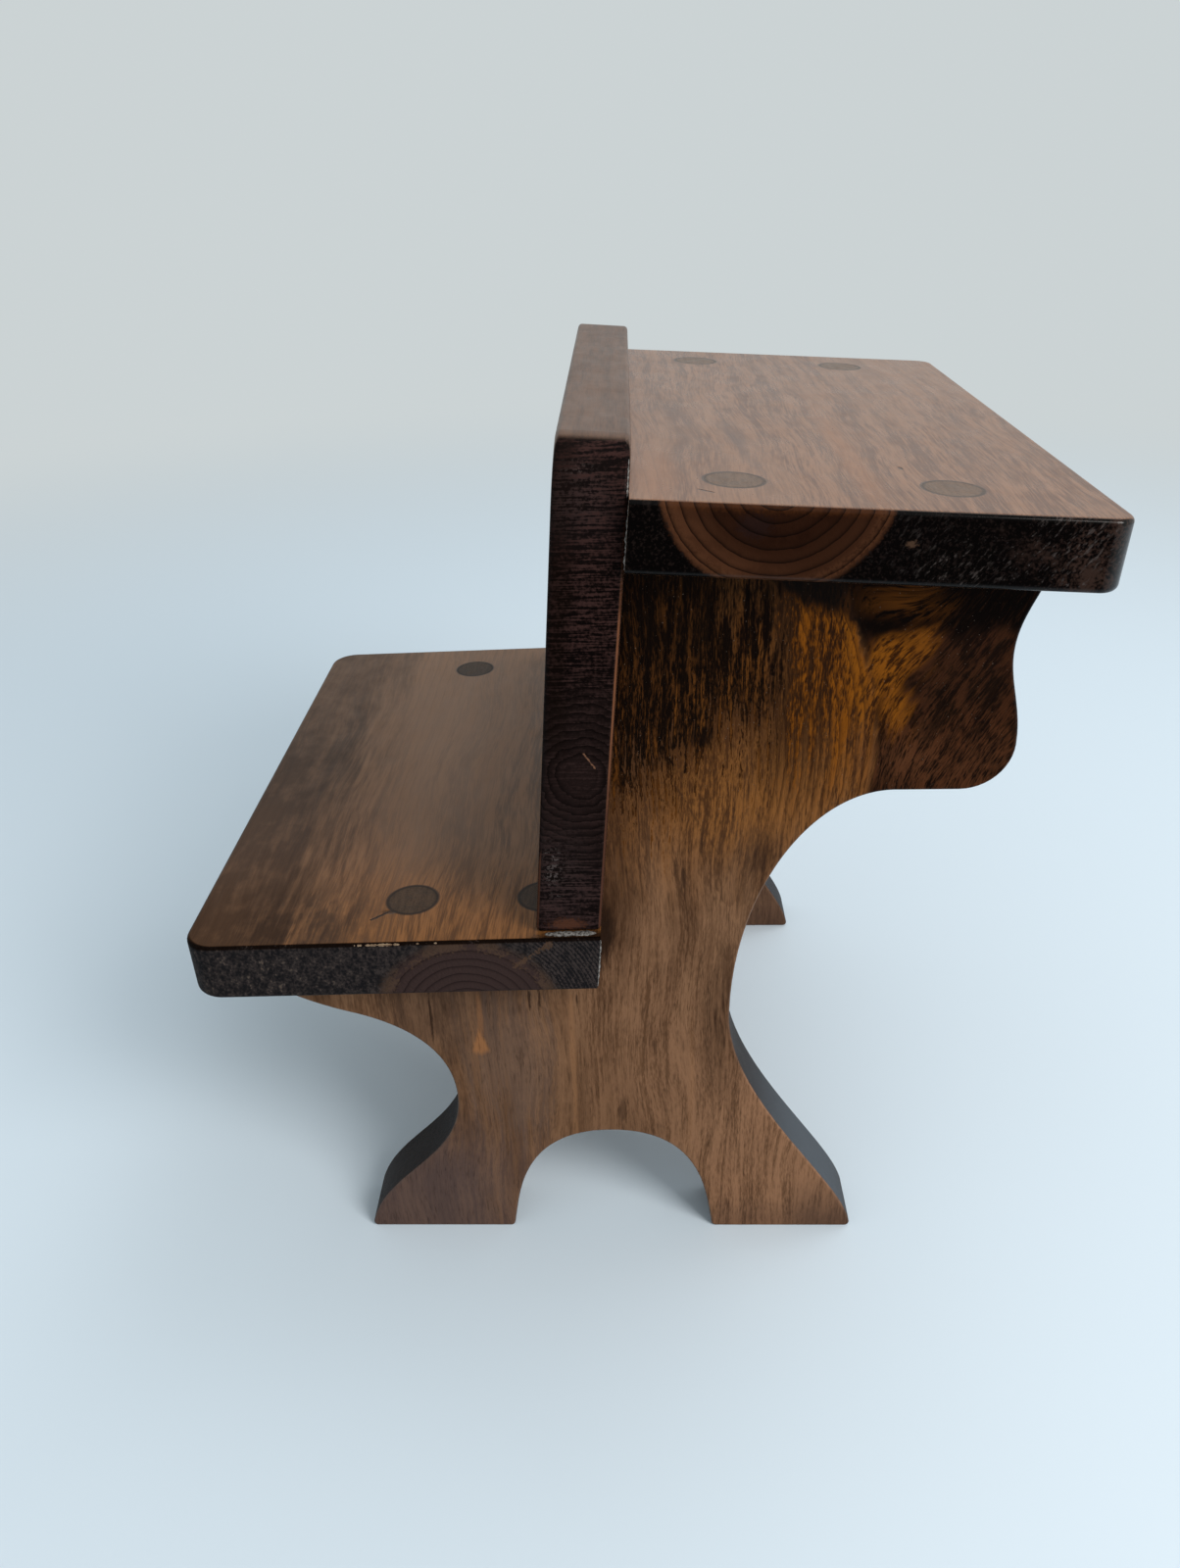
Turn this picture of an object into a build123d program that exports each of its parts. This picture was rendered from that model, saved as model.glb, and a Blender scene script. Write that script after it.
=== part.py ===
from build123d import *
import os
from math import cos, radians, sin

# A small wooden stand in the form of an old schoolroom desk.
# A seat, a backrest and a sloping desk top are screwed to two scroll-cut side panels, and a wood plug
# covers each screw. Millimetres and degrees. +Z is up from the floor, +X runs from the seat's front edge
# to the desk's free edge, and +Y runs across the panels, from the left one to the right one.

# Boards
stock = 19.0
seat_length = 227.0
seat_width = 123.0
desk_length = 227.0
desk_width = 123.0
backrest_length = 219.5
backrest_height = 139.7
panel_span = 200.0

# Angles: the seat rises to the back, the backrest leans back, the desk falls away from the backrest
seat_rise = 1.35
rake = 4.2
desk_slope = 3.4

# Height of the seat's underside at the panels' raked front edge, and how far the desk's lies above it there
seat_height = 114.7
desk_rise = 128.3

# Rounded corners of the boards, and eased edges
seat_corner = 10.0
desk_corner = 6.0
backrest_corner = 17.0
upper_easing = 1.5
lower_easing = 2.0
toe_easing = 1.5
foot_easing = 1.5
panel_easing = 0.8

# How far the boards stand out past the panels in side view
seat_overhang = 15.0
desk_overhang = 13.7

# Side panel outline: reaches are along X from the heel, where the seat's ledge meets the raked front edge
front_toe_reach = 82.2
front_toe_splay = 10.5
rear_toe_reach = 85.7
rear_toe_splay = 1.2
front_waist_reach = 47.6
front_waist_height = 60.0
rear_waist_reach = 40.9
rear_waist_height = 95.0
arch_middle = 3.0
arch_half_width = 34.8
arch_height = 45.2
arch_splay = 11.3
ledge_bracket_length = 29.0
ledge_bracket_depth = 16.3
ledge_bracket_slope = 16.8
ledge_tip_slope = 60.0
neck_depth = 6.1
neck_drop = 21.0
lobe_setback = 1.7
lobe_drop = 27.2
lobe_radius = 14.0
lobe_flat = 17.7
top_corner_flare = 20.0

# Side panel outline: how far it keeps to its heading at each place before it bends away
ledge_tip_pull = 6.0
ledge_bracket_pull = 14.0
ledge_curve_pull = 29.6
front_waist_pull_up = 9.3
front_waist_pull_down = 28.3
front_toe_pull = 26.7
arch_leg_pull = 12.2
arch_crown_pull = 32.2
rear_toe_pull = 18.4
rear_waist_pull_down = 37.2
lobe_pull = 11.0
neck_pull = 8.5
top_corner_pull = 8.0
quarter_ellipse = 0.5523

# Screws and the plugs over them, at distances from the raked edge along the seat and the desk
plug_diameter = 15.9
plug_depth = 6.5
screw_length = 30.0
screw_head_diameter = 8.2
screw_head_depth = 2.6
screw_shank_diameter = 4.2
screw_thread_diameter = 3.4
screw_tip_length = 5.0
shank_clearance = 0.2
seat_screw_rear = 16.0
seat_screw_front = 56.6
desk_screw_inner = 27.4
desk_screw_outer = 83.3
backrest_screw_rows = ("lower", "upper")


def polar(length, heading):
    """A step of some length on a heading, in degrees from +X towards +Z."""
    return Vector(length * cos(radians(heading)), length * sin(radians(heading)))


def bend(start, heading, pull, end, end_heading, end_pull):
    """A smooth stretch of outline that leaves start and meets end on the given headings."""
    return Bezier(start, start + polar(pull, heading), end - polar(end_pull, end_heading), end)


# Directions in side view, and the frames that the boards lie on
up_rake = Vector(sin(radians(rake)), 0, cos(radians(rake)))
heel = Vector(0, 0, seat_height)
desk_start = heel + up_rake * (desk_rise / up_rake.Z)
backrest_foot = heel + up_rake * (stock / cos(radians(seat_rise + rake)))

seat_front = Vector(-cos(radians(seat_rise)), 0, -sin(radians(seat_rise)))
seat_up = Vector(-sin(radians(seat_rise)), 0, cos(radians(seat_rise)))
desk_out = Vector(cos(radians(desk_slope)), 0, -sin(radians(desk_slope)))
desk_up = Vector(sin(radians(desk_slope)), 0, cos(radians(desk_slope)))
rake_front = Vector(-cos(radians(rake)), 0, sin(radians(rake)))

seat_frame = Plane(heel, x_dir=seat_front, z_dir=seat_up)
desk_frame = Plane(desk_start, x_dir=desk_out, z_dir=desk_up)
backrest_frame = Plane(backrest_foot, x_dir=up_rake, z_dir=rake_front)
raked_edge = Plane(heel, x_dir=up_rake, z_dir=rake_front)
seat_top = Plane(heel + seat_up * stock, x_dir=seat_front, z_dir=seat_up)


def board(frame, width, length, corner, trim, keep):
    """A board of the stock on a frame, with two rounded free corners and its other edge cut to a plane."""
    plan = Pos((width - stock) / 2, 0) * Rectangle(width + stock, length)
    free_corners = plan.vertices().group_by(Axis.X)[-1]
    plan = fillet(free_corners, corner)
    blank = extrude(frame * plan, stock)
    return split(blank, bisect_by=trim, keep=keep).solid()


def eased_board(solid, frame, trim, lower, upper):
    """Rounds the free edges of a board's two faces, and leaves the edge that was cut to the plane square."""
    through = Axis(frame.origin, frame.z_dir)
    for end, radius in ((0, lower), (-1, upper)):
        face = solid.faces().filter_by(GeomType.PLANE).sort_by(through)[end]
        edges = [e for e in face.edges() if abs(trim.to_local_coords(e.center()).Z) > radius]
        solid = solid.fillet(radius, edges)
    return solid


def side_view(point):
    """A point of the middle plane as side view coordinates."""
    return Vector(point.X, point.Z)


def panel_outline():
    """The side panel in side view, from the heel along the ledge, the feet and the rear back to the top."""
    ledge_tip = side_view(heel + seat_front * (seat_width - seat_overhang))
    ledge_bracket = ledge_tip + Vector(ledge_bracket_length, -ledge_bracket_depth)
    bracket_heading = -ledge_bracket_slope
    front_waist = Vector(-front_waist_reach, front_waist_height)
    front_toe = Vector(-front_toe_reach, 0)
    arch_front = Vector(arch_middle - arch_half_width, 0)
    arch_crown = Vector(arch_middle, arch_height)
    arch_rear = Vector(arch_middle + arch_half_width, 0)
    rear_toe = Vector(rear_toe_reach, 0)
    rear_waist = Vector(rear_waist_reach, rear_waist_height)
    top_corner = side_view(desk_start + desk_out * (desk_width - desk_overhang))
    neck = top_corner + Vector(-neck_depth, -neck_drop)
    lobe_side = Vector(top_corner.X - lobe_setback, neck.Y - lobe_drop)
    lobe_under = lobe_side + Vector(-lobe_radius, -lobe_radius)
    sweep_end = lobe_under + Vector(-lobe_flat, 0)
    sweep_rise = quarter_ellipse * (sweep_end.Y - rear_waist.Y)
    sweep_run = quarter_ellipse * (sweep_end.X - rear_waist.X)

    edges = [
        Line(side_view(heel), ledge_tip),
        bend(ledge_tip, -ledge_tip_slope, ledge_tip_pull, ledge_bracket, bracket_heading, ledge_bracket_pull),
        bend(ledge_bracket, bracket_heading, ledge_curve_pull, front_waist, -90, front_waist_pull_up),
        bend(front_waist, -90, front_waist_pull_down, front_toe, -90 - front_toe_splay, front_toe_pull),
        Line(front_toe, arch_front),
        bend(arch_front, 90 - arch_splay, arch_leg_pull, arch_crown, 0, arch_crown_pull),
        bend(arch_crown, 0, arch_crown_pull, arch_rear, -90 + arch_splay, arch_leg_pull),
        Line(arch_rear, rear_toe),
        bend(rear_toe, 90 + rear_toe_splay, rear_toe_pull, rear_waist, 90, rear_waist_pull_down),
        bend(rear_waist, 90, sweep_rise, sweep_end, 0, sweep_run),
        Line(sweep_end, lobe_under),
        RadiusArc(lobe_under, lobe_side, -lobe_radius),
        bend(lobe_side, 90, lobe_pull, neck, 90, neck_pull),
        bend(neck, 90, neck_pull, top_corner, 90 - top_corner_flare, top_corner_pull),
        Line(top_corner, side_view(desk_start)),
        Line(side_view(desk_start), side_view(heel)),
    ]
    return make_face(Wire(edges))


def side_panel(side):
    """One side panel, with eased edges except where the boards bear on it. Side is -1 left or 1 right."""
    outer = Plane.XZ.offset(-side * panel_span / 2)
    panel = extrude(outer * panel_outline(), side * stock).solid()
    toes = [e for e in panel.edges().filter_by(Axis.Y) if abs(e.center().Z) < toe_easing]
    panel = panel.fillet(toe_easing, toes)
    bearing = (seat_frame, raked_edge, desk_frame)
    free = []
    for face in panel.faces().filter_by(Axis.Y):
        for edge in face.edges():
            clear = [abs(plane.to_local_coords(edge.center()).Z) for plane in bearing]
            if min(clear) > panel_easing:
                free.append(edge)
    return panel.fillet(panel_easing, free)


def screw():
    """A flat-head wood screw on -Z below a board's face, its thread drawn plain between crest and root."""
    head_top = -plug_depth
    tip = head_top - screw_length
    profile = Polyline(
        (0, head_top),
        (screw_head_diameter / 2, head_top),
        (screw_shank_diameter / 2, head_top - screw_head_depth),
        (screw_shank_diameter / 2, -stock),
        (screw_thread_diameter / 2, -stock),
        (screw_thread_diameter / 2, tip + screw_tip_length),
        (0, tip),
        close=True,
    )
    return revolve(make_face(Plane.XZ * profile), Axis.Z)


def plug():
    """A round plug that fills the counterbore over a screw, flush with the board's face."""
    return Pos(0, 0, -plug_depth / 2) * Cylinder(plug_diameter / 2, plug_depth)


def drilling():
    """The counterbore, countersink and clearance hole for one screw, through a board."""
    clearance = screw_shank_diameter / 2 + shank_clearance
    return plug() + screw() + Pos(0, 0, -(plug_depth + stock) / 2) * Cylinder(clearance, stock - plug_depth)


# Boards before drilling
seat = board(seat_frame, seat_width, seat_length, seat_corner, raked_edge, Keep.TOP)
seat = eased_board(seat, seat_frame, raked_edge, lower_easing, upper_easing)
desk_top = board(desk_frame, desk_width, desk_length, desk_corner, raked_edge, Keep.BOTTOM)
desk_top = eased_board(desk_top, desk_frame, raked_edge, lower_easing, upper_easing)
backrest = board(backrest_frame, backrest_height, backrest_length, backrest_corner, seat_top, Keep.TOP)
backrest = eased_board(backrest, backrest_frame, seat_top, upper_easing, upper_easing)
long_edges = backrest.edges().filter_by(Axis.Y)
foot_edges = [e for e in long_edges if abs(seat_top.to_local_coords(e.center()).Z) < foot_easing]
backrest = backrest.fillet(foot_easing, foot_edges)
boards = {"seat": seat, "desk": desk_top, "backrest": backrest}
frames = {"seat": seat_frame, "desk": desk_frame, "backrest": backrest_frame}

# Screw places along each board, by row; the backrest's rows are evenly spaced along the bare panel edge
bare_edge = (desk_start - backrest_foot).length
row_pitch = bare_edge / len(backrest_screw_rows)
rows = {
    "seat": {"rear": seat_screw_rear, "front": seat_screw_front},
    "desk": {"inner": desk_screw_inner, "outer": desk_screw_outer},
    "backrest": {name: row_pitch * (i + 0.5) for i, name in enumerate(backrest_screw_rows)},
}

# Panels, screws and plugs, side by side
pieces = {}
for side, side_name in ((-1, "left"), (1, "right")):
    panel = side_panel(side)
    for board_name, board_rows in rows.items():
        for row, distance in board_rows.items():
            frame = frames[board_name]
            middle = side * (panel_span - stock) / 2
            face = frame.origin + frame.x_dir * distance + frame.z_dir * stock + Vector(0, middle, 0)
            place = Plane(face, x_dir=frame.x_dir, z_dir=frame.z_dir)
            boards[board_name] -= place * drilling()
            panel -= place * screw()
            pieces[f"{board_name}_screw_{row}_{side_name}"] = place * screw()
            pieces[f"{board_name}_plug_{row}_{side_name}"] = place * plug()
    pieces[f"{side_name}_side_panel"] = panel
pieces["seat"] = boards["seat"]
pieces["desk_top"] = boards["desk"]
pieces["backrest"] = boards["backrest"]

# The origin is on the floor under the middle of the stand
front_end = pieces["seat"].bounding_box().min.X
rear_end = pieces["desk_top"].bounding_box().max.X
to_middle = Pos(-(front_end + rear_end) / 2, 0, 0)

os.makedirs("parts", exist_ok=True)
for name, piece in pieces.items():
    export_step(to_middle * piece, f"parts/{name}.step")
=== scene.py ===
from math import cos, radians, sin

import bpy
import numpy as np
from mathutils import Matrix, Vector


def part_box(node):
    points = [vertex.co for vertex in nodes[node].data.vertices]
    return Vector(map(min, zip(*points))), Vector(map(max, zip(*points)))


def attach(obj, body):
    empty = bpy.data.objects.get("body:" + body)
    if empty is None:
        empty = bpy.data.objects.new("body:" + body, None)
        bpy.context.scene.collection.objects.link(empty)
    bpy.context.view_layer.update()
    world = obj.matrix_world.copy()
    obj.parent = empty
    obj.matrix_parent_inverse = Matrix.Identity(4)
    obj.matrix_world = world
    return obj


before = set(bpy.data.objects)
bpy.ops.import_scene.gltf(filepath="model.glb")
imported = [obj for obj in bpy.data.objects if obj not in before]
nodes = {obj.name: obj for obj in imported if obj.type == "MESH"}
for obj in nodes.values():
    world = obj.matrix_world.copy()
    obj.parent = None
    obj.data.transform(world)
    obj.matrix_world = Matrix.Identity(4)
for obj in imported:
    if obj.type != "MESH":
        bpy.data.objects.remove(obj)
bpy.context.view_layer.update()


# Side panels: two scroll-cut pine boards, sawn with the grain upright. They are stained dark walnut and
# varnished, the stain went on unevenly under the desk top, and the sawn outline drank most of it.


class Grain:
    """One value, vector or colour of a finish. Arithmetic on values adds Math nodes to its node tree."""

    def __init__(self, tree, socket):
        self.tree = tree
        self.socket = socket

    def node(self, kind, sockets, settings=(), output=0):
        """Adds a node, makes its settings, then fills its sockets with numbers or links. Gives one output."""
        made = self.tree.nodes.new("ShaderNode" + kind)
        for name, value in dict(settings).items():
            setattr(made, name, value)
        for name, value in sockets.items():
            if isinstance(value, Grain):
                self.tree.links.new(value.socket, made.inputs[name])
            else:
                made.inputs[name].default_value = value
        return Grain(self.tree, made.outputs[output]) if made.outputs else None

    def math(self, operation, *values):
        return self.node("Math", dict(enumerate(values)), {"operation": operation})

    def __add__(self, other):
        return self.math("ADD", self, other)

    def __sub__(self, other):
        return self.math("SUBTRACT", self, other)

    def __rsub__(self, other):
        return self.math("SUBTRACT", other, self)

    def __mul__(self, other):
        return self.math("MULTIPLY", self, other)

    def __truediv__(self, other):
        return self.math("DIVIDE", self, other)

    def __pow__(self, other):
        return self.math("POWER", self, other)

    def __abs__(self):
        return self.math("ABSOLUTE", self)

    __radd__ = __add__
    __rmul__ = __mul__


def timber(name):
    """A new finish, with the place on the piece in millimetres and the direction that its surface faces."""
    made = bpy.data.materials.new(name)
    made.use_nodes = True
    made.node_tree.nodes.clear()
    start = Grain(made.node_tree, None)
    metres = start.node("TexCoord", {}, output="Object")
    place = start.node("VectorMath", {0: metres, 3: 1000.0}, {"operation": "SCALE"})
    facing = start.node("TexCoord", {}, output="Normal")
    return made, place, facing


def part_of(vector, axis):
    """One of a vector's three values, by the letter of its axis."""
    return vector.node("SeparateXYZ", {0: vector}, output=axis)


def soft(value, low, high):
    """A smooth step: 0 below low, 1 above high."""
    return value.node("MapRange", {"Value": value, "From Min": low, "From Max": high},
                      {"interpolation_type": "SMOOTHSTEP"})


def noise(place, stretch, detail=2.0, seed=0.0):
    """Cloudy noise about 0.5, with so many cells to the millimetre along X, Y and Z."""
    cells = place.node("VectorMath", {0: place, 1: stretch, 2: (seed, seed, seed)},
                       {"operation": "MULTIPLY_ADD"})
    return place.node("TexNoise", {"Vector": cells, "Scale": 1.0, "Detail": detail, "Roughness": 0.6})


def fibres(place, along, shortness, seed):
    """A board's figure: fibres, flecks, streaks and broad bands, each noise drawn out along the grain. The
    fibres' shortness is their number to the millimetre along it."""
    cells_across_and_along = ((2.3, shortness), (0.62, 0.055), (0.22, 0.013), (0.050, 0.004))
    layers = []
    for across, length in cells_across_and_along:
        stretch = [length if axis == along else across for axis in "XYZ"]
        layers.append(noise(place, stretch, 3.0, seed + across))
    return layers


def mix(share, first, second):
    """Two colours mixed by a share of the second."""
    return share.node("Mix", {0: share, 6: first, 7: second}, {"data_type": "RGBA"}, output=2)


def patch(place, middle, reach, ragged=0.0, edge=0.5):
    """An oval patch: 1 inside and 0 outside, with its edge softened and pushed about by a ragged value."""
    away = place.node("VectorMath", {0: place, 1: middle}, {"operation": "SUBTRACT"})
    scaled = place.node("VectorMath", {0: away, 1: reach}, {"operation": "DIVIDE"})
    distance = place.node("VectorMath", {0: scaled}, {"operation": "LENGTH"}, output="Value")
    return 1 - soft(distance + ragged, 1 - edge, 1 + edge)


def scratch(place, start, end, width, ragged=0.0):
    """A scored line from start to end: 1 within its half width, by the distance from the nearest point."""
    run = np.subtract(end, start)
    away = place.node("VectorMath", {0: place, 1: start}, {"operation": "SUBTRACT"})
    per_length = tuple(run / np.dot(run, run))
    along = place.node("VectorMath", {0: away, 1: per_length}, {"operation": "DOT_PRODUCT"}, output="Value")
    held = along.math("MINIMUM", along.math("MAXIMUM", along, 0.0), 1.0)
    nearest = place.node("VectorMath", {0: tuple(run), 3: held}, {"operation": "SCALE"})
    aside = place.node("VectorMath", {0: away, 1: nearest}, {"operation": "SUBTRACT"})
    distance = place.node("VectorMath", {0: aside}, {"operation": "LENGTH"}, output="Value")
    return 1 - soft(distance + ragged, width * 0.5, width * 1.5)


def varnish(material, colour, roughness, relief, dry, pooled):
    """Satin varnish over a colour, with relief in millimetres. Where dry is 1 the wood has drunk the varnish,
    and where pooled is 1 it stands as a thick clear coat."""
    millimetre = 0.001
    satin_gloss, dry_gloss, dry_roughness = 0.28, 0.012, 0.5
    bump = colour.node("Bump", {"Height": relief, "Distance": millimetre, "Strength": 1.0}, output="Normal")
    both = {"Base Color": colour, "Normal": bump, "Coat Weight": pooled, "Coat Roughness": 0.14}
    satin = {**both, "Roughness": roughness, "Specular IOR Level": satin_gloss}
    satin = colour.node("BsdfPrincipled", satin)
    dull = {**both, "Roughness": dry_roughness, "Specular IOR Level": dry_gloss}
    dull = colour.node("BsdfPrincipled", dull)
    shared = colour.node("MixShader", {0: dry, 1: satin, 2: dull})
    colour.node("OutputMaterial", {"Surface": shared})
    return material


def opaque(red, green, blue):
    """A solid colour in linear light."""
    return (red, green, blue, 1.0)


def dress(node, material):
    """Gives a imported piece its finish."""
    nodes[node].data.materials.clear()
    nodes[node].data.materials.append(material)


brown_pale = opaque(0.222, 0.116, 0.062)
brown = opaque(0.180, 0.090, 0.0465)
brown_shade = opaque(0.088, 0.0405, 0.0190)
brown_deep = opaque(0.048, 0.0205, 0.0090)
nearly_black = opaque(0.0040, 0.0018, 0.0010)


def late_wood(distance, ring, sharpness=5.0):
    """The hard dark line at the outside of each growth ring: a saw tooth over each ring, sharpened."""
    return distance.math("FRACT", distance / ring) ** sharpness


def panel_wood(name, seed, blotch, aside, rubbed_and_lit):
    """Upright grain that sweeps to the rear over the desk's bracket, with growth rings as long arches. Dark
    and amber blotches of stain lie where X and Z put them, moved aside by some millimetres, and run along the
    grain. The more the panel was handled and lit, the paler its rear foot and the stronger a painted
    blue-grey reflection of the sky on the foot's up-facing sawn edge; a panel in shade gets painted shade on
    its rear foot."""
    material, place, facing = timber(name)
    x_place = part_of(place, "X") - aside
    z_place = part_of(place, "Z")
    sweep = soft(x_place, 58, 92) * soft(z_place, 150, 182) * (z_place - 190) * 0.55
    waver = (noise(place, (0.030, 0.030, 0.016), 1.0, seed + 1.7) - 0.5) * 9
    bent = place.node("CombineXYZ", {"X": x_place - sweep + waver, "Y": part_of(place, "Y"), "Z": z_place})
    flat = place.node("CombineXYZ", {"X": x_place, "Z": z_place})
    fibre, fleck, streak, broad = fibres(bent, "Z", 0.42, seed)
    mottle = noise(place, (0.16, 0.16, 0.12), 4.0, seed + 11.3)
    hair = soft(noise(bent, (1.9, 1.9, 0.055), 2.0, seed + 5.1), 0.57, 0.70)
    thread = noise(bent, (1.15, 1.15, 0.045), 3.0, seed + 7.7)
    figure = fibre * 0.28 + thread * 0.34 + fleck * 0.22 + streak * 0.16
    gritty = fibre * 0.54 + fleck * 0.46
    ragged = (streak - 0.5) * 0.9 + (fleck - 0.5) * 0.8 + (fibre - 0.5) * 0.4
    fringe = (fibre - 0.5) * 0.7 + (fleck - 0.5) * 0.6 + (thread - 0.5) * 0.9 + (streak - 0.5) * 0.3
    arch = place.node("CombineXYZ", {"X": part_of(bent, "X") - 35, "Z": (z_place - 250) * 0.12})
    distance = place.node("VectorMath", {0: arch}, {"operation": "LENGTH"}, output="Value")
    late = late_wood(distance + (fleck - 0.5) * 0.8, 2.3)

    # The plain stained board, then its feet, its flank behind the seat and the shade under it.
    colour = mix(soft(figure, 0.43, 0.565), brown_shade, brown)
    colour = mix(soft(broad + ragged * 0.4, 0.44, 0.64) * 0.52, colour, brown_pale)
    colour = mix(soft(1 - broad + (mottle - 0.5) * 0.5 + ragged * 0.3, 0.46, 0.62) * 0.36, colour, brown_deep)
    colour = mix(late * soft(broad + fleck, 0.85, 1.15) * 0.3, colour, brown_deep)
    patchy = noise(bent, (0.12, 0.12, 0.022), 2.0, seed + 21.3) + ragged * 0.12
    colour = mix((1 - soft(patchy, 0.34, 0.50)) * 0.35, colour, brown_deep)
    colour = mix(soft(patchy, 0.52, 0.66) * 0.30, colour, opaque(0.262, 0.134, 0.070))
    calm = 1 - soft(z_place + ragged * 20, 70, 125)
    colour = mix(calm * 0.30, colour, opaque(0.138, 0.068, 0.0345))
    middle = patch(flat, (10, 0, 82), (17, 9, 40), ragged * 2.0, 0.7)
    colour = mix(middle * soft(figure, 0.40, 0.58) * 0.50, colour, opaque(0.250, 0.127, 0.069))
    upper = soft(z_place + ragged * 20, 128, 178)
    warmer = mix(soft(figure, 0.425, 0.565), opaque(0.050, 0.0172, 0.0042), opaque(0.200, 0.0770, 0.0200))
    colour = mix(upper * 0.88, colour, warmer)
    honey = patch(flat, (38, 0, 174), (18, 9, 16), ragged * 2.2, 0.7)
    colour = mix(honey * soft(figure, 0.40, 0.56) * 0.68, colour, opaque(0.225, 0.0860, 0.0200))
    behind_edge = x_place - (z_place - 115) * 0.073
    flank = (1 - soft(behind_edge + ragged * 22, -2, 14)) * soft(z_place + ragged * 30, 118, 138)
    flank = flank * 0.5 + patch(flat, (-4.0, 0, 124), (5.5, 9, 15), ragged * 2.2, 0.6) * 0.5
    colour = mix(flank.math("MINIMUM", flank, 0.8), colour, brown_deep)
    heel = patch(flat, (-4.0, 0, 125), (4.2, 9, 11), ragged * 1.4, 0.45)
    colour = mix(heel * blotch * 0.85, colour, opaque(0.014, 0.0065, 0.0038))
    rear_foot = soft(x_place + ragged * 24, 2, 46) * (1 - soft(z_place + ragged * 30, 56, 116))
    colour = mix(rear_foot * soft(figure, 0.37, 0.56) * rubbed_and_lit * 0.7, colour, opaque(0.290, 0.146, 0.079))
    # Painted shade: a panel that stands in shade, as the far one does, gets a darker rear foot.
    colour = mix(rear_foot * (1 - rubbed_and_lit) * 0.5, colour, opaque(0.060, 0.038, 0.032))
    rear_base = soft(x_place, 30, 36) * (1 - soft(z_place + ragged * 16, 4, 16))
    rear_toe = soft(x_place + ragged * 12, 54, 68) * (1 - soft(z_place + ragged * 12, 12, 30))
    colour = mix(rear_base * 0.35 + rear_toe * rubbed_and_lit * 0.40, colour, opaque(0.070, 0.038, 0.026))
    front_foot = (1 - soft(x_place + ragged * 24, -56, -14)) * (1 - soft(z_place + ragged * 20, 22, 66))
    colour = mix(front_foot * 0.66, colour, opaque(0.070, 0.051, 0.052))
    faded = patch(flat, (-34, 0, 76), (13, 9, 26), ragged * 2.0, 0.6)
    colour = mix(faded * 0.38, colour, opaque(0.150, 0.098, 0.076))
    under_seat = patch(flat, (-54, 0, 96), (17, 9, 20), ragged * 1.6, 0.6)
    colour = mix(under_seat * 0.36, colour, opaque(0.050, 0.033, 0.026))
    high_up = soft(z_place + ragged * 20, 80, 135)
    colour = mix(hair * soft(mottle, 0.36, 0.60) * (high_up * 0.25 + 0.25), colour, brown_deep)

    # The uneven stain under the desk top: dusk in front, gold up to a curved seam, red brown on the bracket.
    past_seam = x_place - 72.5 + (z_place - 186) * (z_place - 186) * 0.005
    high = soft(z_place + ragged * 46, 164, 206)
    toward_top = x_place + soft(z_place + ragged * 20, 212, 230) * 8
    gold = soft(toward_top + ragged * 36, 34, 58) * (1 - soft(past_seam + ragged * 5, -1.2, 1.2)) * high
    seam_rings = late_wood((fleck - 0.5) * 1.5 + (mottle - 0.5) * 1.2 - past_seam, 2.4, 2.6)
    brighter = (toward_top - 61) * 0.0065
    golden = mix(soft(gritty * 0.7 + streak * 0.3 + brighter, 0.44, 0.575), opaque(0.016, 0.0050, 0.0012),
                 opaque(0.176, 0.0520, 0.0030))
    colour = mix(gold * blotch, colour, golden)
    rim = 1 - soft(abs(past_seam + 3.0 + ragged * 6), 0.5, 3.4)
    rim = rim * soft(z_place, 178, 200) * soft(gritty, 0.40, 0.55)
    colour = mix(rim * gold * blotch * 0.6, colour, opaque(0.195, 0.0620, 0.0040))
    ringed = soft(x_place + ragged * 20, 26, 50) * soft(z_place + ragged * 20, 150, 182)
    seam_rings = seam_rings * ringed * (1 - soft(past_seam, -2, 0)) * blotch
    colour = mix(seam_rings * 0.75, colour, opaque(0.022, 0.0072, 0.0018))
    dusk_edge = z_place - soft(x_place, 18, 34) * 11 + fringe * 105 + (mottle - 0.5) * 22
    dusk = soft(dusk_edge, 172, 184) * (1 - soft(toward_top + ragged * 40, 38, 56))
    gloom = soft(z_place + fringe * 30, 208, 226) * (1 - soft(x_place, 26, 44))
    dusky = mix(soft(gritty, 0.48, 0.63) * (1 - gloom * 0.6), opaque(0.0016, 0.0006, 0.0004),
                opaque(0.046, 0.0155, 0.0036))
    amber = soft(thread * 0.55 + fleck * 0.45, 0.525, 0.62) * soft(fibre, 0.36, 0.56)
    dusky = mix(amber * (1 - gloom * 0.75) * 0.75, dusky, opaque(0.120, 0.0400, 0.0068))
    colour = mix(dusk * blotch * 0.97, colour, dusky)
    bracket = soft(past_seam + ragged * 5, -0.5, 2.5) * soft(z_place, 160, 172)
    blurred = fleck * 0.30 + fibre * 0.32 + mottle * 0.38
    reddish = mix(soft(blurred, 0.455, 0.57), opaque(0.0030, 0.0010, 0.0006), opaque(0.047, 0.0150, 0.0058))
    reddish = mix(soft(z_place + ragged * 30, 192, 210) * 0.45, reddish, opaque(0.0050, 0.0022, 0.0017))
    colour = mix(bracket * blotch * 0.97, colour, reddish)
    lip = bracket * soft(x_place, 86, 104) * (1 - soft(z_place + ragged * 24, 180, 204))
    lip = lip * soft(fibre, 0.36, 0.56) * 0.8
    lip = lip + patch(flat, (82.5, 0, 184), (11, 9, 10), ragged * 3.0, 0.8) * soft(gritty, 0.40, 0.56) * 1.5
    colour = mix(lip * blotch * 0.5, colour, opaque(0.086, 0.0310, 0.0125))
    seam = 1 - soft(abs(past_seam - 1.6 + ragged * 7), 0.4, 2.2)
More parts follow.
